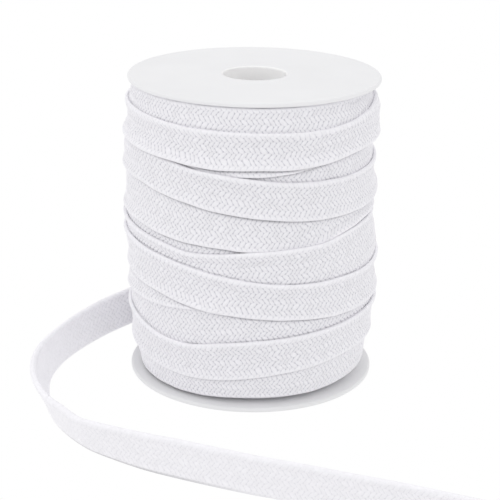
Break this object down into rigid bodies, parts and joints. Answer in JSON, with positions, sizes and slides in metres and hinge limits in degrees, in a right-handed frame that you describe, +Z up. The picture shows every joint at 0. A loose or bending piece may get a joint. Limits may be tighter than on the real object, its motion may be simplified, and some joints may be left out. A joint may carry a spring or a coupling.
{
  "type": "roll of flat cotton cord on a plastic spool",
  "caption": "Plastic spool wound with flat braided cotton cord in slightly tilted overlapping wraps, its loose end standing on edge beside it.",
  "frame": {"origin": "on the surface the spool stands on, at the spool's axis", "axes": "+Z up along the spool's axis, -Y towards the side where the loose end runs past"},
  "size_m": [0.1363, 0.1602, 0.099],
  "materials": {
    "spool_plastic": "satin moulded white plastic",
    "cotton_braid": "matt undyed bleached cotton, flat herringbone braid"
  },
  "bodies": {
    "root": {"flange_top": "spool_plastic", "flange_bottom": "spool_plastic", "core_tube": "spool_plastic", "wound_cord": "cotton_braid", "loose_end": "cotton_braid"}
  },
  "joints": []
}
